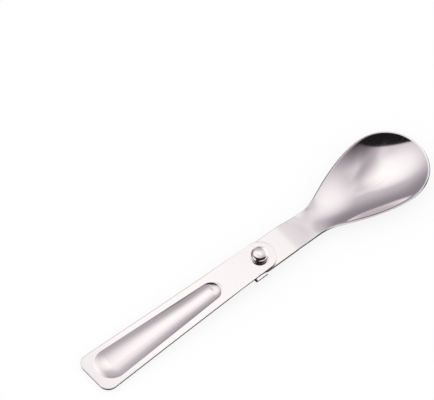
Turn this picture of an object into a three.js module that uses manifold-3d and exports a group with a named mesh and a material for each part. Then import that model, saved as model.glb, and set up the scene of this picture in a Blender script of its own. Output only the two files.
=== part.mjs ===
// Folding spoon of pressed sheet steel: a bowl half and a handle on one rivet.
// Millimetres. The rivet's axis is Z and its flat tail lies at Z = 0.
// The bowl points along +X, the open handle along -X, and the bowl opens upwards.

import * as THREE from 'three';
import { mergeVertices } from 'three/addons/utils/BufferGeometryUtils.js';
import Module from 'manifold-3d';

// Sheet and joint, both halves equally wide and round at the rivet
const SHEET = 1.0;
const JOINT_HALF_WIDTH = 6.6;
const WASHER_THICKNESS = 0.25;
const WASHER_RADIUS = 5.0;
const RUNNING_GAP = 0.04;
const SHANK_RADIUS = 2.0;
const SHANK_CLEARANCE = 0.08;

// Rivet
const HEAD_RADIUS = 3.45;
const HEAD_HEIGHT = 2.7;
const SHOULDER_RADIUS = 1.5;
const CROWN_RADIUS = 9.5;
const TAIL_RADIUS = 3.0;
const TAIL_HEIGHT = 0.9;
const TAIL_ROUNDING = 0.5;

// Bowl half, lengths along X from the rivet's axis
const PIVOT_TO_TIP = 81.0;
const NECK_HALF_WIDTH = 6.1;
const NECK_STRAIGHT = 2.6;
const NECK_FILLET = 8.5;
const BOWL_WIDTH = 34.0;
const TIP_ROUNDING = 16.3;
const BOWL_DEPTH = 5.2;
const DEEPEST_FROM_TIP = 24.4;
const NECK_BEND_LENGTH = 11.0;
const DISH_PAST_BEND_START = 6.1;

// Stop tab, bent up from the tang's edge
const STOP_LENGTH = 5.2;
const STOP_FROM_PIVOT = 2.5;
const STOP_GAP = 0.12;
const STOP_BELOW_HANDLE_TOP = 0.4;
const STOP_BEND_RADIUS = 0.5;

// Handle, lengths along -X from the rivet's axis
const PIVOT_TO_BUTT = 84.2;
const BUTT_HALF_WIDTH = 9.35;
const BUTT_CORNER = 4.5;
const GROOVE_DEPTH = 1.0;
const GROOVE_START = 20.5;
const GROOVE_TO_BUTT = 3.2;
const LIP_AT_GROOVE_START = 2.95;
const LIP_AT_GROOVE_END = 2.1;

// Least gap between the turning handle's groove and the bowl's rim
const SWING_CLEARANCE = 0.2;

// Overrun of a cutter past the faces that it goes through
const CUT_OVERRUN = 1.0;

// Shares and powers that shape the surfaces
const RIM_LEAN_SHARE = 0.53;
const FLANK_START_SHARE = 0.2;
const FLANK_CONTROL_SHARE = 0.64;
const TAPER_POWER = 1.25;
const GROOVE_POWER = 2.2;
const TROUGH_SHARES = [0.94, 0.85, 0.72, 0.56, 0.38, 0.19, 0];
const LEAST_STEP_SHARE = 0.02;

// Numbers of steps round curves and along surfaces
const TURN_STEPS = 40;
const QUARTER_STEPS = 8;
const GROOVE_STEPS = 14;
const BEND_STEPS = 8;
const FLANK_STEPS = 13;
const TIP_STEPS = 14;
const ACROSS_STEPS = 10;

// Heights of the stack at the rivet
const tangTop = TAIL_HEIGHT + SHEET;
const handleTop = tangTop + WASHER_THICKNESS + RUNNING_GAP + SHEET;
const headSeat = handleTop + RUNNING_GAP;
const holeRadius = SHANK_RADIUS + SHANK_CLEARANCE;

const rightAngle = Math.PI / 2;

const wasm = await Module();
wasm.setup();

// Joins the points that lie together and drops the triangles that this closes up
function weld(geometry) {
  const bare = new THREE.BufferGeometry();
  bare.setAttribute('position', geometry.getAttribute('position').clone());
  bare.setIndex(geometry.getIndex());
  const welded = mergeVertices(bare);
  const corners = [...welded.getIndex().array];
  const kept = [];
  for (let i = 0; i < corners.length; i += 3) {
    const face = corners.slice(i, i + 3);
    if (new Set(face).size === 3) {
      kept.push(...face);
    }
  }
  welded.setIndex(kept);
  return welded;
}

function toSolid(geometry) {
  const welded = weld(geometry);
  const vertProperties = new Float32Array(welded.getAttribute('position').array);
  const triVerts = new Uint32Array(welded.getIndex().array);
  return new wasm.Manifold(new wasm.Mesh({ numProp: 3, vertProperties, triVerts }));
}

function toGeometry(solid) {
  const mesh = solid.getMesh();
  const geometry = new THREE.BufferGeometry();
  geometry.setAttribute('position', new THREE.BufferAttribute(new Float32Array(mesh.vertProperties), 3));
  geometry.setIndex(new THREE.BufferAttribute(new Uint32Array(mesh.triVerts), 1));
  geometry.computeVertexNormals();
  return geometry;
}

// Points of a curve without its last one, so that curves can follow each other
function walk(curve, steps) {
  return curve.getPoints(steps).slice(0, steps);
}

// Arc of an ellipse the short way from one angle to another
function arc(centre, radiusX, radiusY, fromAngle, toAngle) {
  const clockwise = toAngle < fromAngle;
  return new THREE.EllipseCurve(centre.x, centre.y, radiusX, radiusY, fromAngle, toAngle, clockwise);
}

// Rises from 0 to 1 with no slope at either end
function ease(share) {
  return THREE.MathUtils.smoothstep(share, 0, 1);
}

// Pressed sheet: rows of points on its upper face, and the sheet's thickness below them,
// measured square to the face, so that a sloping wall is as thick as a flat one.
function pressedSheet(rows) {
  const columns = rows[0].length;
  const cells = [];
  for (let i = 0; i + 1 < rows.length; i += 1) {
    for (let j = 0; j + 1 < columns; j += 1) {
      const here = i * columns + j;
      const next = here + columns;
      cells.push(here, next, next + 1, here, next + 1, here + 1);
    }
  }
  const grid = new THREE.BufferGeometry();
  const coordinates = rows.flat().flatMap((point) => point.toArray());
  grid.setAttribute('position', new THREE.Float32BufferAttribute(coordinates, 3));
  grid.setIndex(cells);
  const face = weld(grid);
  face.computeVertexNormals();

  const upper = face.getAttribute('position');
  const normals = face.getAttribute('normal');
  const points = [...upper.array];
  for (let i = 0; i < upper.count; i += 1) {
    const point = new THREE.Vector3().fromBufferAttribute(upper, i);
    const normal = new THREE.Vector3().fromBufferAttribute(normals, i);
    points.push(...point.addScaledVector(normal, -SHEET).toArray());
  }

  const corners = face.getIndex().array;
  const edges = new Map();
  const triangles = [];
  const below = upper.count;
  for (let i = 0; i < corners.length; i += 3) {
    const [a, b, c] = corners.slice(i, i + 3);
    triangles.push(a, b, c, c + below, b + below, a + below);
    for (const [from, to] of [[a, b], [b, c], [c, a]]) {
      edges.set(`${from} ${to}`, [from, to]);
    }
  }
  for (const [from, to] of edges.values()) {
    if (!edges.has(`${to} ${from}`)) {
      triangles.push(to, from, from + below, to, from + below, to + below);
    }
  }
  const body = new THREE.BufferGeometry();
  body.setAttribute('position', new THREE.Float32BufferAttribute(points, 3));
  body.setIndex(triangles);
  return toSolid(body);
}

// Cutter for the rivet's hole through a sheet whose upper face is at height zero
function holeCutter() {
  const cutter = new THREE.CylinderGeometry(holeRadius, holeRadius, SHEET + 2 * CUT_OVERRUN, TURN_STEPS);
  cutter.rotateX(rightAngle);
  cutter.translate(0, 0, -SHEET / 2);
  return toSolid(cutter);
}

// Half the handle's width at a distance from the rivet's axis towards the butt
function handleHalfWidth(distance) {
  if (distance <= 0) {
    return Math.sqrt(Math.max(JOINT_HALF_WIDTH ** 2 - distance ** 2, 0));
  }
  const spread = BUTT_HALF_WIDTH - JOINT_HALF_WIDTH;
  const side = JOINT_HALF_WIDTH + spread * (distance / PIVOT_TO_BUTT) ** TAPER_POWER;
  const intoCorner = Math.max(distance - (PIVOT_TO_BUTT - BUTT_CORNER), 0);
  return side - BUTT_CORNER + Math.sqrt(Math.max(BUTT_CORNER ** 2 - intoCorner ** 2, 0));
}

// The groove is a tapered slot with round ends. Its spine joins the centres of the ends.
const grooveEnd = PIVOT_TO_BUTT - GROOVE_TO_BUTT;
const grooveStartRadius = handleHalfWidth(GROOVE_START) - LIP_AT_GROOVE_START;
const grooveEndRadius = handleHalfWidth(grooveEnd - BUTT_HALF_WIDTH) - LIP_AT_GROOVE_END;
const spineStart = GROOVE_START + grooveStartRadius;
const spineEnd = grooveEnd - grooveEndRadius;

function grooveSection(distance) {
  const share = THREE.MathUtils.clamp((distance - spineStart) / (spineEnd - spineStart), 0, 1);
  const radius = THREE.MathUtils.lerp(grooveStartRadius, grooveEndRadius, share);
  const pastSpine = Math.max(spineStart - distance, distance - spineEnd, 0);
  return { radius, pastSpine, halfWidth: Math.sqrt(Math.max(radius ** 2 - pastSpine ** 2, 0)) };
}

// Distances from the rivet's axis at which the handle's face has a row of points
function handleStations() {
  const stations = [];
  for (let i = 0; i <= QUARTER_STEPS; i += 1) {
    const angle = rightAngle * i / QUARTER_STEPS;
    stations.push(-JOINT_HALF_WIDTH * Math.cos(angle));
    stations.push(GROOVE_START + grooveStartRadius * (1 - Math.cos(angle)));
    stations.push(grooveEnd - grooveEndRadius * (1 - Math.cos(angle)));
    stations.push(PIVOT_TO_BUTT - BUTT_CORNER * (1 - Math.sin(angle)));
  }
  for (let i = 1; i < GROOVE_STEPS; i += 1) {
    stations.push(THREE.MathUtils.lerp(0, GROOVE_START, i / GROOVE_STEPS));
    stations.push(THREE.MathUtils.lerp(spineStart, spineEnd, i / GROOVE_STEPS));
  }
  stations.sort((first, second) => first - second);
  const leastStep = LEAST_STEP_SHARE * SHEET;
  return stations.filter((distance, i) => i === 0 || distance - stations[i - 1] > leastStep);
}

// One row of points across the handle: lip, trough and lip, from +Y to -Y
function handleRow(distance) {
  const outer = handleHalfWidth(distance);
  const groove = grooveSection(distance);
  const offsets = [outer, (outer + groove.halfWidth) / 2, groove.halfWidth];
  offsets.push(...TROUGH_SHARES.map((share) => share * groove.halfWidth));
  const half = offsets.map((offset) => {
    const reach = Math.min(Math.hypot(groove.pastSpine, offset) / groove.radius, 1);
    return new THREE.Vector3(-distance, offset, GROOVE_DEPTH * (reach ** GROOVE_POWER - 1));
  });
  const mirror = half.map((point) => new THREE.Vector3(point.x, -point.y, point.z));
  return [...half, ...mirror.reverse()];
}

function makeHandle() {
  const plate = pressedSheet(handleStations().map(handleRow));
  return toGeometry(plate.subtract(holeCutter()));
}

// The rim lies below the tang, so that the handle's groove passes over it. The neck's bend
// ends where the groove is first at its full depth, measured from the rivet's axis.
const rimDrop = GROOVE_DEPTH - WASHER_THICKNESS - RUNNING_GAP + SWING_CLEARANCE;
const neckBendEnd = Math.sqrt(spineStart ** 2 - NECK_HALF_WIDTH ** 2);
const neckBendStart = neckBendEnd - NECK_BEND_LENGTH;
const dishStart = neckBendStart + DISH_PAST_BEND_START;
const rimHalfWidth = BOWL_WIDTH / 2 - RIM_LEAN_SHARE * SHEET;
const rimTip = PIVOT_TO_TIP - RIM_LEAN_SHARE * SHEET;
const widest = rimTip - TIP_ROUNDING;
const deepest = rimTip - DEEPEST_FROM_TIP;

// Half of the bowl half's outline: round hidden end, tang, neck, flank and round tip
function bowlOutline() {
  const pivot = new THREE.Vector2(0, 0);
  const tangStart = new THREE.Vector2(0, JOINT_HALF_WIDTH);
  const bendStart = new THREE.Vector2(neckBendStart, JOINT_HALF_WIDTH);
  const bendEnd = new THREE.Vector2(neckBendEnd, NECK_HALF_WIDTH);
  const neckEnd = new THREE.Vector2(neckBendEnd + NECK_STRAIGHT, NECK_HALF_WIDTH);
  const flankStart = new THREE.Vector2(
    neckEnd.x + NECK_FILLET,
    THREE.MathUtils.lerp(NECK_HALF_WIDTH, rimHalfWidth, FLANK_START_SHARE),
  );
  const flankControl = new THREE.Vector2(
    THREE.MathUtils.lerp(flankStart.x, widest, FLANK_CONTROL_SHARE),
    rimHalfWidth,
  );
  const flankSlope = (flankControl.y - flankStart.y) / (flankControl.x - flankStart.x);
  const filletControl = new THREE.Vector2(
    flankStart.x - (flankStart.y - NECK_HALF_WIDTH) / flankSlope,
    NECK_HALF_WIDTH,
  );
  const widestPoint = new THREE.Vector2(widest, rimHalfWidth);
  const tipCentre = new THREE.Vector2(widest, 0);
  return [
    ...walk(arc(pivot, JOINT_HALF_WIDTH, JOINT_HALF_WIDTH, Math.PI, rightAngle), QUARTER_STEPS),
    ...walk(new THREE.LineCurve(tangStart, bendStart), 2),
    ...walk(new THREE.LineCurve(bendStart, bendEnd), BEND_STEPS),
    ...walk(new THREE.LineCurve(bendEnd, neckEnd), 2),
    ...walk(new THREE.QuadraticBezierCurve(neckEnd, filletControl, flankStart), BEND_STEPS),
    ...walk(new THREE.QuadraticBezierCurve(flankStart, flankControl, widestPoint), FLANK_STEPS),
    ...walk(arc(tipCentre, TIP_ROUNDING, rimHalfWidth, rightAngle, 0), TIP_STEPS),
    new THREE.Vector2(rimTip, 0),
  ];
}

// Height of the bowl half's upper face above the tang's, where across is -1 and 1 at the edges
function bowlHeight(x, across) {
  const drop = rimDrop * ease((x - neckBendStart) / NECK_BEND_LENGTH);
  const behind = ease((x - dishStart) / (deepest - dishStart));
  const ahead = 1 - ((x - deepest) / DEEPEST_FROM_TIP) ** 2;
  const fullness = (x < deepest ? behind : Math.max(ahead, 0)) * (1 - across ** 2);
  return -drop - BOWL_DEPTH * fullness;
}

// Stop tab: a strip of the tang's sheet that turns up through a bend beside the handle
function stopTab() {
  const inner = handleHalfWidth(STOP_FROM_PIVOT + STOP_LENGTH) + STOP_GAP;
  const bendCentre = inner - STOP_BEND_RADIUS;
  const root = JOINT_HALF_WIDTH - SHEET;
  const top = handleTop - STOP_BELOW_HANDLE_TOP - tangTop;
  const outline = new THREE.Shape();
  outline.moveTo(root, 0);
  outline.lineTo(bendCentre, 0);
  outline.absarc(bendCentre, STOP_BEND_RADIUS, STOP_BEND_RADIUS, -rightAngle, 0, false);
  outline.lineTo(inner, top);
  outline.lineTo(inner + SHEET, top);
  outline.absarc(bendCentre, STOP_BEND_RADIUS, STOP_BEND_RADIUS + SHEET, 0, -rightAngle, true);
  outline.lineTo(root, -SHEET);
  outline.closePath();
  const options = { depth: STOP_LENGTH, bevelEnabled: false, curveSegments: QUARTER_STEPS };
  const strip = new THREE.ExtrudeGeometry(outline, options);
  strip.rotateX(rightAngle);
  strip.rotateZ(-rightAngle);
  strip.translate(-STOP_FROM_PIVOT, 0, 0);
  return toSolid(strip);
}

function makeBowlHalf() {
  const rows = bowlOutline().map((edge) => {
    const row = [];
    for (let j = ACROSS_STEPS; j >= -ACROSS_STEPS; j -= 1) {
      const across = Math.sin(rightAngle * j / ACROSS_STEPS);
      row.push(new THREE.Vector3(edge.x, -across * edge.y, bowlHeight(edge.x, across)));
    }
    return row;
  });
  return toGeometry(pressedSheet(rows).add(stopTab()).subtract(holeCutter()));
}

// Turns a profile of radius and height round Z
function turned(profile) {
  const geometry = new THREE.LatheGeometry(profile, TURN_STEPS);
  geometry.rotateX(rightAngle);
  return toGeometry(toSolid(geometry));
}

// One piece of steel: flat peened tail, shank and button head, whose round shoulder
// runs smoothly into a low crown
function makeRivet() {
  const tailCentre = new THREE.Vector2(TAIL_RADIUS - TAIL_ROUNDING, TAIL_ROUNDING);
  const shoulderReach = HEAD_RADIUS - SHOULDER_RADIUS;
  const crownAngle = Math.acos(shoulderReach / (CROWN_RADIUS - SHOULDER_RADIUS));
  const crownCentre = new THREE.Vector2(0, headSeat + HEAD_HEIGHT - CROWN_RADIUS);
  const shoulderRise = (CROWN_RADIUS - SHOULDER_RADIUS) * Math.sin(crownAngle);
  const shoulderCentre = new THREE.Vector2(shoulderReach, crownCentre.y + shoulderRise);
  return turned([
    new THREE.Vector2(0, 0),
    ...walk(arc(tailCentre, TAIL_ROUNDING, TAIL_ROUNDING, -rightAngle, 0), QUARTER_STEPS / 2),
    new THREE.Vector2(TAIL_RADIUS, TAIL_ROUNDING),
    new THREE.Vector2(TAIL_RADIUS, TAIL_HEIGHT),
    new THREE.Vector2(SHANK_RADIUS, TAIL_HEIGHT),
    new THREE.Vector2(SHANK_RADIUS, headSeat),
    new THREE.Vector2(HEAD_RADIUS, headSeat),
    ...walk(arc(shoulderCentre, SHOULDER_RADIUS, SHOULDER_RADIUS, 0, crownAngle), QUARTER_STEPS),
    ...walk(arc(crownCentre, CROWN_RADIUS, CROWN_RADIUS, crownAngle, rightAngle), QUARTER_STEPS / 2),
    new THREE.Vector2(0, headSeat + HEAD_HEIGHT),
  ]);
}

// Thin ring between the tang and the handle
function makeWasher() {
  return turned([
    new THREE.Vector2(holeRadius, 0),
    new THREE.Vector2(WASHER_RADIUS, 0),
    new THREE.Vector2(WASHER_RADIUS, WASHER_THICKNESS),
    new THREE.Vector2(holeRadius, WASHER_THICKNESS),
    new THREE.Vector2(holeRadius, 0),
  ]);
}

function makePiece(name, geometry, height, color, roughness) {
  const material = new THREE.MeshStandardMaterial({ color, roughness, metalness: 1 });
  const piece = new THREE.Mesh(geometry, material);
  piece.name = name;
  piece.position.z = height;
  return piece;
}

const spoon = new THREE.Group();
spoon.add(makePiece('bowl_half', makeBowlHalf(), tangTop, 0xdcd7d6, 0.16));
spoon.add(makePiece('friction_washer', makeWasher(), tangTop, 0xb9b4ae, 0.35));
spoon.add(makePiece('handle', makeHandle(), handleTop, 0xdcd7d6, 0.18));
spoon.add(makePiece('rivet', makeRivet(), 0, 0xc8c5c4, 0.12));

export default spoon;
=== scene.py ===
import math

import bmesh
import bpy
from mathutils import Matrix, Vector


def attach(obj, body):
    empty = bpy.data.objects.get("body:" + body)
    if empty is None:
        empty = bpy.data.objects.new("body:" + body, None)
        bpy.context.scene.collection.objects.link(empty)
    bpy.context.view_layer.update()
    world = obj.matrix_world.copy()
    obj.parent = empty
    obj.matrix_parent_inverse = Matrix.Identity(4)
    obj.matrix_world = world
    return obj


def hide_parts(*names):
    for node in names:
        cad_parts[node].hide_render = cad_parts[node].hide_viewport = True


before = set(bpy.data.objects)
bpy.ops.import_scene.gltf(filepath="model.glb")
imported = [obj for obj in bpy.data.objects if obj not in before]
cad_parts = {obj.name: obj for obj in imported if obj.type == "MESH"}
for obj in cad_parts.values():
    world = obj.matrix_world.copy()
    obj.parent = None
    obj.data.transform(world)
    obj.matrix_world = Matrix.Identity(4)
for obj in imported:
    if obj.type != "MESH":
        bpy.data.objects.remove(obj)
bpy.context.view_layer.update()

# Bowl half: bowl, neck and tang are pressed from one sheet of stainless steel and polished.
# The stop tab at the tang's near edge is the same sheet, turned up through a small bend.

mm = 0.001
SHEET = 1.0 * mm
RIM_BREAK = 0.16 * mm
TANG_TOP = 1.9 * mm
HOLE_RADIUS = 2.08 * mm
PUNCH_FACETS = 96
TANG_HALF_WIDTH = 6.6 * mm
NECK_HALF_WIDTH = 6.1 * mm
NECK_BEND_START = 12.85 * mm
NECK_BEND_END = 23.85 * mm
NECK_END = 26.45 * mm
FLANK_START = 34.95 * mm
FLANK_START_HALF_WIDTH = 8.17 * mm
FLANK_CONTROL = 53.65 * mm
RIM_HALF_WIDTH = 16.47 * mm
WIDEST = 64.17 * mm
RIM_TIP = 80.47 * mm
RIM_DROP = 0.91 * mm
DISH_START = 18.95 * mm
DEEPEST = 56.07 * mm
BOWL_DEPTH = 5.2 * mm
TAB_FROM_PIVOT = 2.5 * mm
TAB_LENGTH = 5.2 * mm
TAB_INNER = 6.86 * mm
TAB_BEND_RADIUS = 0.5 * mm
TAB_TOP = 2.79 * mm
TAB_CORNER = 0.9 * mm

ROUND_END_STEPS = 20
TANG_STEPS = 18
BEND_STEPS = 16
THROAT_STEPS = 4
FILLET_STEPS = 14
FLANK_STEPS = 36
TIP_STEPS = 36
INNER_RINGS = 42
OUTERMOST_INNER_RING = 0.955
START_RADIUS = 10 * mm
MERGE_DISTANCE = 0.002 * mm
HAIRLINE = 0.01 * mm
TINY = 0.000001 * mm
EDGE_LIMIT = math.radians(70)
SMOOTH_LIMIT = math.radians(38)
EDGE_SEGMENTS = 3
TAB_BEND_STEPS = 8
TAB_CORNER_SEGMENTS = 6

PALE_STEEL = (0.985, 0.93, 0.935, 1.0)
DEEP_STEEL = (0.965, 0.905, 0.91, 1.0)
PATCHES_PER_METRE = 45.0
GRAIN = 0.6
LINE_CELL = (9.0 * mm, 0.16 * mm)
SMEAR_CELL = (14.0 * mm, 3.0 * mm)
SCRATCH_CELL = (2.2 * mm, 0.05 * mm)
SCRATCH_FROM = 0.66
SCRATCH_TO = 0.74
SCRATCH_ROUGHNESS = 0.05
SCRATCH_RELIEF = 0.6
RELIEF_STRENGTH = 0.05
RELIEF_DEPTH = 0.02 * mm


def ease(share):
    """Goes from 0 to 1 with a level start and end."""
    share = min(max(share, 0.0), 1.0)
    return share * share * (3.0 - 2.0 * share)


def mix(start, end, share):
    return start + (end - start) * share


def quadratic(start, control, end, steps):
    """Points of a quadratic curve without its last one."""
    points = []
    for step in range(steps):
        t = step / steps
        u = 1.0 - t
        points.append(tuple(u * u * a + 2 * u * t * b + t * t * c for a, b, c in zip(start, control, end)))
    return points


def line(start, end, steps):
    """Points of a straight line without its last one."""
    middle = [(a + b) / 2 for a, b in zip(start, end)]
    return quadratic(start, middle, end, steps)


def bowl_side():
    """One side of the blank's outline as (x, half width), from the hidden end to the tip."""
    points = []
    for step in range(ROUND_END_STEPS):
        angle = math.pi / 2 * step / ROUND_END_STEPS
        points.append((-TANG_HALF_WIDTH * math.cos(angle), TANG_HALF_WIDTH * math.sin(angle)))
    tang_end = (NECK_BEND_START, TANG_HALF_WIDTH)
    bend_end = (NECK_BEND_END, NECK_HALF_WIDTH)
    neck_end = (NECK_END, NECK_HALF_WIDTH)
    points += line((0.0, TANG_HALF_WIDTH), tang_end, TANG_STEPS)
    points += line(tang_end, bend_end, BEND_STEPS)
    points += line(bend_end, neck_end, THROAT_STEPS)
    slope = (RIM_HALF_WIDTH - FLANK_START_HALF_WIDTH) / (FLANK_CONTROL - FLANK_START)
    fillet = FLANK_START - (FLANK_START_HALF_WIDTH - NECK_HALF_WIDTH) / slope
    flank = (FLANK_START, FLANK_START_HALF_WIDTH)
    points += quadratic(neck_end, (fillet, NECK_HALF_WIDTH), flank, FILLET_STEPS)
    points += quadratic(flank, (FLANK_CONTROL, RIM_HALF_WIDTH), (WIDEST, RIM_HALF_WIDTH), FLANK_STEPS)
    for step in range(TIP_STEPS + 1):
        angle = math.pi / 2 * (1 - step / TIP_STEPS)
        reach = (RIM_TIP - WIDEST) * math.cos(angle)
        points.append((WIDEST + reach, max(RIM_HALF_WIDTH * math.sin(angle), 0.0)))
    return points


bowl_points = bowl_side()


def bowl_half_width(x):
    """Half the blank's width at x, between the outline's points."""
    for before, after in zip(bowl_points, bowl_points[1:]):
        if x <= after[0]:
            share = (x - before[0]) / max(after[0] - before[0], TINY)
            return mix(before[1], after[1], max(share, 0.0))
    return 0.0


def bowl_height(x, across):
    """Height of the upper face; across is 0 on the middle line and 1 at the rim."""
    drop = RIM_DROP * ease((x - NECK_BEND_START) / (NECK_BEND_END - NECK_BEND_START))
    if x < DEEPEST:
        along = ease((x - DISH_START) / (DEEPEST - DISH_START))
    else:
        along = max(1 - ((x - DEEPEST) / (RIM_TIP - DEEPEST)) ** 2, 0.0)
    fullness = along * (1 - min(abs(across), 1.0) ** 2)
    return TANG_TOP - drop - BOWL_DEPTH * fullness


def close_loop(side):
    """A closed loop from one side's points: out along +Y and back along -Y."""
    back = [(x, -y, z) for x, y, z in side[1:-1]]
    return side + back[::-1]


def ring_by_ring(name, rings):
    """A sheet grown inwards from its edge: each extrusion of the open edge is one ring."""
    bpy.ops.object.select_all(action="DESELECT")
    bpy.ops.mesh.primitive_circle_add(vertices=len(rings[0]), radius=START_RADIUS, fill_type="NOTHING")
    sheet = bpy.context.object
    sheet.name = name
    sheet.data.name = name
    bpy.ops.object.mode_set(mode="EDIT")
    mesh = bmesh.from_edit_mesh(sheet.data)
    edge = list(mesh.verts)
    for number, ring in enumerate(rings):
        if number:
            order = {tuple(vertex.co): i for i, vertex in enumerate(edge)}
            bpy.ops.mesh.extrude_edges_indiv()
            mesh = bmesh.from_edit_mesh(sheet.data)
            grown = [vertex for vertex in mesh.verts if vertex.select]
            edge = sorted(grown, key=lambda vertex: order[tuple(vertex.co)])
        for vertex, place in zip(edge, ring):
            vertex.co = place
    bmesh.update_edit_mesh(sheet.data)
    bpy.ops.mesh.select_all(action="SELECT")
    bpy.ops.mesh.remove_doubles(threshold=MERGE_DISTANCE)
    bpy.ops.mesh.normals_make_consistent(inside=False)
    if mesh.faces[0].normal.z < 0:
        bpy.ops.mesh.flip_normals()
    bpy.ops.object.mode_set(mode="OBJECT")
    return sheet


def apply(piece, kind, **settings):
    """Adds a modifier to a piece and makes its result the piece's own mesh."""
    modifier = piece.modifiers.new(kind.title(), kind)
    for setting, value in settings.items():
        setattr(modifier, setting, value)
    bpy.context.view_layer.objects.active = piece
    bpy.ops.object.modifier_apply(modifier=modifier.name)


def add_cutter(radius, low, high):
    """A punch on the rivet's axis, turned half a facet so that its corners miss the sheet's."""
    bpy.ops.object.select_all(action="DESELECT")
    place = (0, 0, (low + high) / 2)
    turn = (0, 0, math.pi / PUNCH_FACETS)
    size = {"radius": radius, "depth": high - low}
    bpy.ops.mesh.primitive_cylinder_add(vertices=PUNCH_FACETS, location=place, rotation=turn, **size)
    bpy.ops.object.transform_apply(location=True, rotation=True, scale=True)
    return bpy.context.object


def break_edges(piece, width):
    """Rounds the cut edges; the pressed shape's own bends are too gentle to be taken for one."""
    settings = {"limit_method": "ANGLE", "angle_limit": EDGE_LIMIT, "use_clamp_overlap": False}
    apply(piece, "BEVEL", width=width, segments=EDGE_SEGMENTS, **settings)


def finish_sheet(sheet, top, edge_break, extra=None):
    """Gives a pressed face its thickness, breaks its edges, joins what belongs to it and pierces it."""
    apply(sheet, "SOLIDIFY", thickness=SHEET, offset=-1.0, use_even_offset=True, use_quality_normals=True)
    break_edges(sheet, edge_break)
    if extra:
        apply(sheet, "BOOLEAN", operation="UNION", solver="EXACT", object=extra)
        bpy.data.objects.remove(extra)
    cutter = add_cutter(HOLE_RADIUS, top - 2 * SHEET, top + SHEET)
    apply(sheet, "BOOLEAN", operation="DIFFERENCE", solver="EXACT", object=cutter)
    bpy.data.objects.remove(cutter)
    bpy.ops.object.select_all(action="DESELECT")
    sheet.select_set(True)
    bpy.context.view_layer.objects.active = sheet
    bpy.ops.object.shade_smooth_by_angle(angle=SMOOTH_LIMIT)


def bowl_ring(share):
    """A ring of the upper face at that share of the way from the middle line out to the rim."""
    side = []
    for x, y in bowl_points:
        centre = min(max(x, 0.0), WIDEST)
        inner_x = mix(centre, x, share)
        inner_y = y * share
        half = bowl_half_width(inner_x)
        if share == 1.0:
            across = 1.0
        elif half > 0:
            across = inner_y / half
        else:
            across = 0.0
        side.append((inner_x, inner_y, bowl_height(inner_x, across)))
    return close_loop(side)


inner_angles = [math.pi / 2 * ring / INNER_RINGS for ring in range(INNER_RINGS)]
bowl_rings = [bowl_ring(1.0)]
bowl_rings += [bowl_ring(OUTERMOST_INNER_RING * math.cos(angle)) for angle in inner_angles]
bowl_rings.append(bowl_ring(0.0))
bowl_half = ring_by_ring("bowl_and_tang", bowl_rings)

# Strip of the tab, from inside the tang's edge out, round the bend and up
bpy.ops.object.select_all(action="DESELECT")
tab_middle = -(TAB_FROM_PIVOT + TAB_LENGTH / 2)
tab_root = TANG_HALF_WIDTH - SHEET
bend_y = -(TAB_INNER - TAB_BEND_RADIUS)
bend_z = TANG_TOP + TAB_BEND_RADIUS
bpy.ops.mesh.primitive_plane_add(size=1, location=(tab_middle, -tab_root, TANG_TOP - SHEET / 2))
stop_tab = bpy.context.object
bpy.ops.object.mode_set(mode="EDIT")
bpy.ops.transform.resize(value=(TAB_LENGTH, SHEET, 1))
mesh = bmesh.from_edit_mesh(stop_tab.data)
for vertex in mesh.verts:
    vertex.co = (vertex.co.x, 0.0, vertex.co.y)
bmesh.update_edit_mesh(stop_tab.data)
bpy.ops.mesh.extrude_region_move(TRANSFORM_OT_translate={"value": (0, bend_y + tab_root, 0)})
bpy.ops.mesh.spin(steps=TAB_BEND_STEPS, angle=math.pi / 2, center=(0, bend_y, bend_z), axis=(1, 0, 0))
bpy.ops.mesh.extrude_region_move(TRANSFORM_OT_translate={"value": (0, 0, TAB_TOP - bend_z)})
bpy.ops.mesh.select_all(action="SELECT")
bpy.ops.mesh.remove_doubles(threshold=MERGE_DISTANCE)
bpy.ops.mesh.normals_make_consistent(inside=False)
bpy.ops.object.mode_set(mode="OBJECT")
bpy.ops.object.transform_apply(location=True, rotation=True, scale=True)
bpy.ops.object.mode_set(mode="EDIT")
bpy.ops.mesh.select_mode(type="EDGE")
mesh = bmesh.from_edit_mesh(stop_tab.data)
for edge in mesh.edges:
    start, end = (vertex.co for vertex in edge.verts)
    at_top = min(start.z, end.z) > TAB_TOP - HAIRLINE
    edge.select_set(at_top and abs(start.x - end.x) < HAIRLINE)
bmesh.update_edit_mesh(stop_tab.data)
bpy.ops.mesh.bevel(offset=TAB_CORNER, segments=TAB_CORNER_SEGMENTS, affect="EDGES")
bpy.ops.mesh.select_mode(type="VERT")
bpy.ops.object.mode_set(mode="OBJECT")
finish_sheet(bowl_half, TANG_TOP, RIM_BREAK, stop_tab)


class Wire:
    """A socket of a material's nodes, so that a pattern is written as sums and products.

    A wire without a socket only adds nodes that need no input.
    """

    def __init__(self, tree, socket=None):
        self.tree = tree
        self.socket = socket

    def node(self, kind, settings, sockets, output=0):
        """Adds a node, sets it up, fills its sockets and returns one of its outputs."""
        added = self.tree.nodes.new("ShaderNode" + kind)
        for setting, value in settings.items():
            setattr(added, setting, value)
        for place, value in sockets.items():
            if isinstance(value, Wire):
                self.tree.links.new(value.socket, added.inputs[place])
            else:
                added.inputs[place].default_value = value
        return Wire(self.tree, added.outputs[output])

    def math(self, operation, *values):
        return self.node("Math", {"operation": operation}, dict(enumerate(values)))

    def __add__(self, other):
        return self.math("ADD", self, other)

    def __radd__(self, other):
        return self.math("ADD", other, self)

    def __sub__(self, other):
        return self.math("SUBTRACT", self, other)

    def __rsub__(self, other):
        return self.math("SUBTRACT", other, self)

    def __mul__(self, other):
        return self.math("MULTIPLY", self, other)

    def __rmul__(self, other):
        return self.math("MULTIPLY", other, self)


def fade(value, none, full):
    """0 at the first limit and 1 at the second, easing in between."""
    limits = {"Value": value, "From Min": none, "From Max": full, "To Min": 0.0, "To Max": 1.0}
    return value.node("MapRange", {"interpolation_type": "SMOOTHSTEP"}, limits)


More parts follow.
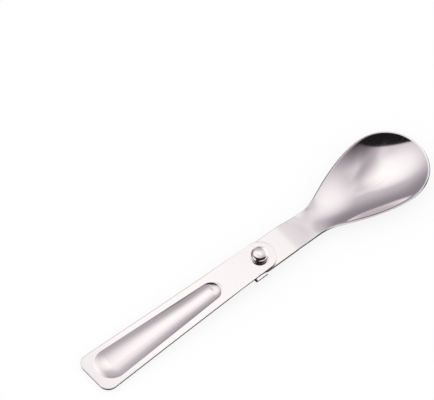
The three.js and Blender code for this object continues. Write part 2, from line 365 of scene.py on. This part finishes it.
def blend(share, start, end):
    """A colour between two others."""
    return share.node("Mix", {"data_type": "RGBA"}, {0: share, 6: start, 7: end}, output=2)


def stretched_noise(place, cell, detail):
    """Noise whose cells are long in X, as drawing and belt polishing leave them."""
    lengthwise, crosswise = cell
    scale = (1 / lengthwise, 1 / crosswise, 1 / crosswise)
    cells = place.node("Mapping", {}, {"Vector": place, "Scale": scale})
    return place.node("TexNoise", {}, {"Vector": cells, "Scale": 1.0, "Detail": detail, "Roughness": GRAIN})


def polished_steel(name, roughness, satin):
    """Stainless steel off the polishing wheel: faint tint patches, fine lines and handling marks.

    Satin is how much the lines and the wiped smears change the roughness.
    """
    material = bpy.data.materials.new(name)
    material.use_nodes = True
    tree = material.node_tree
    shader = tree.nodes["Principled BSDF"]
    bench = Wire(tree)
    place = bench.node("TexCoord", {}, {}, output="Object")

    patches = place.node("TexNoise", {}, {"Vector": place, "Scale": PATCHES_PER_METRE, "Detail": 2.0})
    colour = blend(patches, DEEP_STEEL, PALE_STEEL)
    lines = stretched_noise(place, LINE_CELL, 3.0)
    smears = stretched_noise(place, SMEAR_CELL, 2.0)
    marks = stretched_noise(place, SCRATCH_CELL, 1.0)
    scratch = fade(marks, SCRATCH_FROM, SCRATCH_TO)
    wiped = satin * (lines - 0.5) + 0.5 * satin * (smears - 0.5)
    rough = roughness + wiped + SCRATCH_ROUGHNESS * scratch
    relief = lines + SCRATCH_RELIEF * scratch
    sockets = {"Strength": RELIEF_STRENGTH, "Distance": RELIEF_DEPTH, "Height": relief}
    bump = place.node("Bump", {}, sockets)

    tree.links.new(colour.socket, shader.inputs["Base Color"])
    tree.links.new(rough.socket, shader.inputs["Roughness"])
    tree.links.new(bump.socket, shader.inputs["Normal"])
    shader.inputs["Metallic"].default_value = 1.0
    return material


bowl_half.data.materials.append(polished_steel("mirror_polished_steel", roughness=0.05, satin=0.03))
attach(bowl_half, "bowl_side")
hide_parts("bowl_half")

# Handle: one sheet of the same steel, flat at its edge, with a long groove pressed into it that
# stiffens it. It widens towards the butt, whose two corners are rounded.

HANDLE_TOP = 3.19 * mm
PIVOT_TO_BUTT = 84.2 * mm
BUTT_HALF_WIDTH = 9.35 * mm
BUTT_CORNER = 4.5 * mm
TAPER_POWER = 1.25
GROOVE_DEPTH = 1.0 * mm
GROOVE_POWER = 2.2
GROOVE_START_RADIUS = 4.12 * mm
GROOVE_END_RADIUS = 6.75 * mm
SPINE_START = 24.62 * mm
SPINE_END = 74.25 * mm
RUN_OUT_SHARE = 0.82
RUN_OUT_LENGTH = 14.0 * mm
HANDLE_EDGE_BREAK = 0.07 * mm
EDGE_ROLL = 0.05 * mm
EDGE_STRIPS = [0.3 * mm, 0.4 * mm]
FLAT_SHARES = [0.75, 0.5, 0.3, 0.15, 0.06]
EYE_STEPS = 24
FLAT_STEPS = 30
SPINE_STEPS = 44
BUTT_SIDE_STEPS = 12
BUTT_CORNER_STEPS = 18
BUTT_END_STEPS = 8
TROUGH_RINGS = 26
TROUGH_EDGE = 0.985
TROUGH_SPACING = 1.1


def handle_half_width(distance):
    """Half the blank's width at a distance from the rivet towards the butt."""
    if distance <= 0:
        return math.sqrt(max(TANG_HALF_WIDTH ** 2 - distance ** 2, 0.0))
    spread = BUTT_HALF_WIDTH - TANG_HALF_WIDTH
    side = TANG_HALF_WIDTH + spread * (distance / PIVOT_TO_BUTT) ** TAPER_POWER
    into_corner = max(distance - (PIVOT_TO_BUTT - BUTT_CORNER), 0.0)
    return side - BUTT_CORNER + math.sqrt(max(BUTT_CORNER ** 2 - into_corner ** 2, 0.0))


def handle_side():
    """One side of the blank's outline as (distance, half width), from the rivet's end to the butt."""
    corner_start = PIVOT_TO_BUTT - BUTT_CORNER
    eye_turns = [math.pi / 2 * step / EYE_STEPS for step in range(EYE_STEPS)]
    corner_turns = [math.pi / 2 * step / BUTT_CORNER_STEPS for step in range(BUTT_CORNER_STEPS + 1)]
    distances = [-TANG_HALF_WIDTH * math.cos(turn) for turn in eye_turns]
    for start, end, steps in (
        (0.0, SPINE_START, FLAT_STEPS),
        (SPINE_START, SPINE_END, SPINE_STEPS),
        (SPINE_END, corner_start, BUTT_SIDE_STEPS),
    ):
        distances += [mix(start, end, step / steps) for step in range(steps)]
    distances += [corner_start + BUTT_CORNER * math.sin(turn) for turn in corner_turns]
    points = [(distance, handle_half_width(distance)) for distance in distances]
    butt_half = points[-1][1]
    butt_shares = [step / BUTT_END_STEPS for step in range(1, BUTT_END_STEPS + 1)]
    points += [(PIVOT_TO_BUTT, mix(butt_half, 0.0, share)) for share in butt_shares]
    return points


def groove_centre(distance):
    """Place on the groove's spine from which a point of the outline is reached."""
    return min(max(distance, SPINE_START), SPINE_END)


def groove_radius(distance):
    """From the spine to the groove's lip; the groove widens towards the butt."""
    share = (groove_centre(distance) - SPINE_START) / (SPINE_END - SPINE_START)
    return mix(GROOVE_START_RADIUS, GROOVE_END_RADIUS, share)


def groove_drop(reach, centre):
    """How far the groove lies below the flat; towards the rivet it runs out shallower."""
    depth = GROOVE_DEPTH * mix(RUN_OUT_SHARE, 1.0, ease((centre - SPINE_START) / RUN_OUT_LENGTH))
    return depth * (1 - min(reach, 1.0) ** GROOVE_POWER)


handle_points = handle_side()


def handle_ring(share, strip=0.0, reach=1.0, roll=0.0):
    """A ring about the spine, at that share of the way out on the flat or that reach in the groove.

    A strip keeps it clear of the cut edge, and a roll sets it lower.
    """
    side = []
    for distance, y in handle_points:
        centre = groove_centre(distance)
        out_x = distance - centre
        outer = math.hypot(out_x, y)
        scale = mix(groove_radius(distance) * reach, outer - strip, share) / outer
        z = HANDLE_TOP - roll - groove_drop(reach, centre)
        side.append((-(centre + out_x * scale), y * scale, z))
    return close_loop(side)


trough_reaches = [1 - (ring / TROUGH_RINGS) ** TROUGH_SPACING for ring in range(TROUGH_RINGS + 1)]
handle_rings = [handle_ring(1.0, roll=EDGE_ROLL)]
handle_rings += [handle_ring(1.0, strip=strip) for strip in EDGE_STRIPS]
handle_rings += [handle_ring(share) for share in FLAT_SHARES]
handle_rings.append(handle_ring(0.0))
handle_rings += [handle_ring(0.0, reach=TROUGH_EDGE * reach) for reach in trough_reaches]
handle = ring_by_ring("grooved_handle", handle_rings)
finish_sheet(handle, HANDLE_TOP, HANDLE_EDGE_BREAK)
handle.data.materials.append(polished_steel("satin_polished_steel", roughness=0.14, satin=0.06))
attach(handle, "handle_side")
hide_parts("handle")

# Rivet: one turned pin of stainless steel with a button head above the handle, a low crown that
# runs into a round shoulder. Its tail is peened flat below the tang and holds both sheets.

TAIL_RADIUS = 3.0 * mm
TAIL_ROUNDING = 0.5 * mm
TAIL_HEIGHT = 0.9 * mm
SHANK_RADIUS = 2.0 * mm
HEAD_SEAT = 3.23 * mm
HEAD_RADIUS = 3.45 * mm
HEAD_HEIGHT = 2.7 * mm
SHOULDER_RADIUS = 1.5 * mm
CROWN_RADIUS = 9.5 * mm
CROWN_FLAT_RADIUS = 0.04 * mm
RIVET_EDGE = 0.1 * mm
RIVET_EDGE_MIDDLE = 0.03 * mm
TAIL_STEPS = 6
SHOULDER_STEPS = 16
CROWN_STEPS = 10
RIVET_FACETS = 96

rivet_profile = []
for step in range(TAIL_STEPS + 1):
    angle = math.pi / 2 * step / TAIL_STEPS
    radius = TAIL_RADIUS - TAIL_ROUNDING * (1 - math.sin(angle))
    rivet_profile.append((radius, TAIL_ROUNDING * (1 - math.cos(angle))))
rivet_profile += [
    (TAIL_RADIUS, TAIL_HEIGHT - RIVET_EDGE),
    (TAIL_RADIUS - RIVET_EDGE_MIDDLE, TAIL_HEIGHT - RIVET_EDGE_MIDDLE),
    (TAIL_RADIUS - RIVET_EDGE, TAIL_HEIGHT),
    (SHANK_RADIUS, TAIL_HEIGHT),
    (SHANK_RADIUS, HEAD_SEAT),
    (HEAD_RADIUS - RIVET_EDGE, HEAD_SEAT),
    (HEAD_RADIUS - RIVET_EDGE_MIDDLE, HEAD_SEAT + RIVET_EDGE_MIDDLE),
    (HEAD_RADIUS, HEAD_SEAT + RIVET_EDGE),
]
shoulder_reach = HEAD_RADIUS - SHOULDER_RADIUS
crown_angle = math.acos(shoulder_reach / (CROWN_RADIUS - SHOULDER_RADIUS))
crown_centre = HEAD_SEAT + HEAD_HEIGHT - CROWN_RADIUS
shoulder_centre = crown_centre + (CROWN_RADIUS - SHOULDER_RADIUS) * math.sin(crown_angle)
for step in range(SHOULDER_STEPS):
    angle = crown_angle * step / SHOULDER_STEPS
    radius = shoulder_reach + SHOULDER_RADIUS * math.cos(angle)
    rivet_profile.append((radius, shoulder_centre + SHOULDER_RADIUS * math.sin(angle)))
for step in range(CROWN_STEPS):
    angle = mix(crown_angle, math.pi / 2, step / CROWN_STEPS)
    rivet_profile.append((CROWN_RADIUS * math.cos(angle), crown_centre + CROWN_RADIUS * math.sin(angle)))
rivet_profile.append((CROWN_FLAT_RADIUS, HEAD_SEAT + HEAD_HEIGHT))

# Turned from a disc: each step up the profile is an extrusion and a new width
bpy.ops.object.select_all(action="DESELECT")
bpy.ops.mesh.primitive_circle_add(vertices=RIVET_FACETS, radius=rivet_profile[0][0], fill_type="NGON")
rivet = bpy.context.object
rivet.name = "button_rivet"
rivet.data.name = "button_rivet"
bpy.ops.object.mode_set(mode="EDIT")
for (before, low), (after, high) in zip(rivet_profile, rivet_profile[1:]):
    bpy.ops.mesh.extrude_region_move(TRANSFORM_OT_translate={"value": (0, 0, high - low)})
    bpy.ops.transform.resize(value=(after / before, after / before, 1), center_override=(0, 0, high))
bpy.ops.mesh.select_all(action="SELECT")
bpy.ops.mesh.normals_make_consistent(inside=False)
bpy.ops.object.mode_set(mode="OBJECT")
bpy.ops.object.shade_smooth_by_angle(angle=SMOOTH_LIMIT)
rivet.data.materials.append(polished_steel("bright_rivet_steel", roughness=0.08, satin=0.04))
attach(rivet, "bowl_side")
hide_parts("rivet")

# Washer: a thin spring-steel ring between the sheets, brushed and a little duller. Only its
# edge shows, in the gap beside the rivet.

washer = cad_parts["friction_washer"]
washer.data.materials.clear()
washer.data.materials.append(polished_steel("brushed_washer_steel", roughness=0.34, satin=0.12))

# Floor: a pale sheet that the spoon lies on, touched by the bowl's bottom and the butt's lower
# edge, so it leans a little against the flat tang.

BOWL_REST = (DEEPEST, 0, -5.27 * mm)
LEAN = math.radians(2.8)
FLOOR_SIZE = 6.0
PAPER_VEIL = 0.85
WHITE = (1.0, 1.0, 1.0, 1.0)


def show(shader):
    """Makes a shader the one that its material shows."""
    tree = shader.tree
    tree.links.new(shader.socket, tree.nodes["Material Output"].inputs["Surface"])


bpy.ops.object.select_all(action="DESELECT")
bpy.ops.mesh.primitive_plane_add(size=FLOOR_SIZE, location=BOWL_REST, rotation=(0, LEAN, 0))
floor = bpy.context.object
floor.name = "floor"
paper = bpy.data.materials.new("white_paper")
paper.use_nodes = True
tree = paper.node_tree
paper_shader = tree.nodes["Principled BSDF"]
paper_shader.inputs["Base Color"].default_value = WHITE
paper_shader.inputs["Roughness"].default_value = 1.0
paper_shader.inputs["Specular IOR Level"].default_value = 0.0
bench = Wire(tree)
seen = bench.node("LightPath", {}, {}, output="Is Camera Ray")
bare = Wire(tree, paper_shader.outputs["BSDF"])
white = bench.node("Emission", {}, {"Color": WHITE, "Strength": 1.0})
show(bench.node("MixShader", {}, {0: PAPER_VEIL * seen, 1: bare, 2: white}))
floor.data.materials.append(paper)
floor.visible_glossy = False

# Light: a white studio all round. Only the steel's reflections see the tent of grey and white
# cloth far round it, with a black flag on the camera's side, and the softbox close above it.

TENT_RADIUS = 3.0
TENT_CENTRE = (50 * mm, 0, 0)
TENT_SEGMENTS = 96
TENT_RINGS = 48
LILAC = (1.06, 0.975, 1.07, 1.0)

# The cloth itself: grey that gets lighter with the height of a direction (the sine of its
# elevation), and dark below the floor's level
LOW_GREY = 0.247
HIGH_GREY = 0.648
GREY_SPAN = (0.144, 0.914)
GREY_FADE = (-0.4, -0.15)

# Round panels on the cloth, later ones over earlier: azimuth and elevation of the middle, the
# angles off it at which the panel starts and ends to fade, and its brightness
PANELS = [
    (87.8, 10.3, 29.7, 47.0, 1.1),
    (20.0, -5.4, 0.0, 15.0, 1.1),
    (152.3, 72.2, 0.0, 17.0, 0.42),
    (180.5, 37.4, 25.0, 44.5, 0.0),
    (7.2, 63.0, 4.2, 25.7, 1.0),
    (48.1, 66.1, 0.0, 18.5, 0.12),
    (88.3, 72.3, 0.0, 17.0, 0.38),
    (-8.5, 10.1, 1.1, 32.2, 0.2),
    (-80.0, 12.0, 18.0, 36.0, 0.85),
    (140.0, 2.0, 10.0, 25.0, 0.85),
    (-140.0, 8.0, 38.0, 50.0, 0.012),
]

# Black flag: a half space of directions, given by its middle and the cosines between which it
# fades in, and only above the heights of its foot
FLAG_MIDDLE = (-131.8, -14.5)
FLAG_FADE = (-0.167, -0.137)
FLAG_FOOT = (0.5, 0.62)
FLAG_GLOW = 0.012

# Lit table in front, a wide panel between two heights
TABLE = (-172.0, -18.8, 0.0, 57.0)
TABLE_TOP = (0.5, 0.1)
TABLE_FOOT = (-0.6, -0.3)
TABLE_GLOW = 0.72


def towards(azimuth, elevation):
    """Direction from the spoon: azimuth 0 is +Y and 90 is +X, in degrees."""
    azimuth = math.radians(azimuth)
    elevation = math.radians(elevation)
    level = math.cos(elevation)
    return (math.sin(azimuth) * level, math.cos(azimuth) * level, math.sin(elevation))


def facing(direction, azimuth, elevation):
    """Cosine between a direction and the one that azimuth and elevation give."""
    sockets = {0: direction, 1: towards(azimuth, elevation)}
    return direction.node("VectorMath", {"operation": "DOT_PRODUCT"}, sockets, output=1)


def inside(direction, azimuth, elevation, full, none):
    """1 up to one angle off a panel's middle and 0 from the other on."""
    cosine = facing(direction, azimuth, elevation)
    return fade(cosine, math.cos(math.radians(none)), math.cos(math.radians(full)))


def glowing(glow):
    """Emission of that brightness, a little lilac where it is dim."""
    tint = blend(glow, LILAC, WHITE)
    colour = glow.node("VectorMath", {"operation": "SCALE"}, {0: tint, "Scale": glow})
    return glow.node("Emission", {}, {"Color": colour, "Strength": 1.0})


def glow_only(piece, name):
    """Gives a piece a material without a surface shader, and returns a wire to build its glow."""
    material = bpy.data.materials.new(name)
    material.use_nodes = True
    material.node_tree.nodes.remove(material.node_tree.nodes["Principled BSDF"])
    piece.data.materials.append(material)
    return Wire(material.node_tree)


def mirror_only(piece):
    """Leaves a piece of the studio to be seen in reflections alone."""
    piece.visible_camera = False
    piece.visible_diffuse = False
    piece.visible_shadow = False
    piece.visible_transmission = False
    piece.visible_volume_scatter = False


bpy.ops.object.select_all(action="DESELECT")
tent_size = {"radius": TENT_RADIUS, "segments": TENT_SEGMENTS, "ring_count": TENT_RINGS}
bpy.ops.mesh.primitive_uv_sphere_add(location=TENT_CENTRE, **tent_size)
tent = bpy.context.object
tent.name = "light_tent"
bench = glow_only(tent, "tent_cloth")
place = bench.node("TexCoord", {}, {}, output="Object")
direction = place.node("VectorMath", {"operation": "NORMALIZE"}, {0: place})
height = direction.node("SeparateXYZ", {}, {0: direction}, output=2)
glow = mix(LOW_GREY, HIGH_GREY, fade(height, *GREY_SPAN)) * fade(height, *GREY_FADE)
for azimuth, elevation, full, none, brightness in PANELS:
    glow = mix(glow, brightness, inside(direction, azimuth, elevation, full, none))
shaded = fade(facing(direction, *FLAG_MIDDLE), *FLAG_FADE) * fade(height, *FLAG_FOOT)
glow = mix(glow, FLAG_GLOW, shaded)
lit = inside(direction, *TABLE) * fade(height, *TABLE_TOP) * fade(height, *TABLE_FOOT)
show(glowing(mix(glow, TABLE_GLOW, lit)))
mirror_only(tent)

# Softbox: its height, and along X and Y the middle of each soft edge with the width of its fade
SOFTBOX_HEIGHT = 0.442
SOFTBOX_SHEET = 2.4
SOFTBOX_X = (0.056, 0.12, 0.299, 0.4)
SOFTBOX_Y = (0.035, 0.223, 0.282, 0.12)
SOFTBOX_GLOW = 1.08

bpy.ops.object.select_all(action="DESELECT")
bpy.ops.mesh.primitive_plane_add(size=SOFTBOX_SHEET, location=(0, 0, SOFTBOX_HEIGHT))
softbox = bpy.context.object
softbox.name = "softbox"
bench = glow_only(softbox, "softbox_diffuser")
place = bench.node("TexCoord", {}, {}, output="Object")
lit = 1.0
for axis, (low, low_width, high, high_width) in enumerate((SOFTBOX_X, SOFTBOX_Y)):
    along = place.node("SeparateXYZ", {}, {0: place}, output=axis)
    lit = lit * fade(along, low - low_width / 2, low + low_width / 2)
    lit = lit * fade(along, high + high_width / 2, high - high_width / 2)
clear = bench.node("BsdfTransparent", {}, {"Color": WHITE})
panel = bench.node("Emission", {}, {"Color": WHITE, "Strength": SOFTBOX_GLOW})
show(bench.node("MixShader", {}, {0: lit, 1: clear, 2: panel}))
mirror_only(softbox)

world = bpy.data.worlds.new("white_studio")
world.use_nodes = True
background = world.node_tree.nodes["Background"]
background.inputs["Color"].default_value = WHITE
background.inputs["Strength"].default_value = 1.0
bpy.context.scene.world = world
bpy.context.scene.view_settings.view_transform = "Standard"

# Camera: a long lens from above the spoon's near side, turned so that the bowl points up and
# to the right, at the photograph's scale.

VIEW_AZIMUTH = math.radians(-40.35)
VIEW_ELEVATION = math.radians(57.8)
VIEW_DISTANCE = 6.0
VIEW_WIDTH = 166.22 * mm
AIM_RIGHT = -16.34 * mm
AIM_UP = 21.51 * mm
SENSOR = 36.0
NEAREST = 0.05
FARTHEST = 40.0

right = Vector((math.cos(VIEW_AZIMUTH), math.sin(VIEW_AZIMUTH), 0))
back = Vector((
    math.sin(VIEW_AZIMUTH) * math.cos(VIEW_ELEVATION),
    -math.cos(VIEW_AZIMUTH) * math.cos(VIEW_ELEVATION),
    math.sin(VIEW_ELEVATION),
))
up = back.cross(right)
aim = Vector((0, 0, HANDLE_TOP)) + right * AIM_RIGHT + up * AIM_UP
turn = Matrix((right, up, back)).transposed().to_4x4()

lens = bpy.data.cameras.new("camera")
lens.sensor_width = SENSOR
lens.lens = SENSOR * VIEW_DISTANCE / VIEW_WIDTH
lens.clip_start = NEAREST
lens.clip_end = FARTHEST
camera = bpy.data.objects.new("camera", lens)
camera.matrix_world = Matrix.Translation(aim + back * VIEW_DISTANCE) @ turn
bpy.context.collection.objects.link(camera)
bpy.context.scene.camera = camera
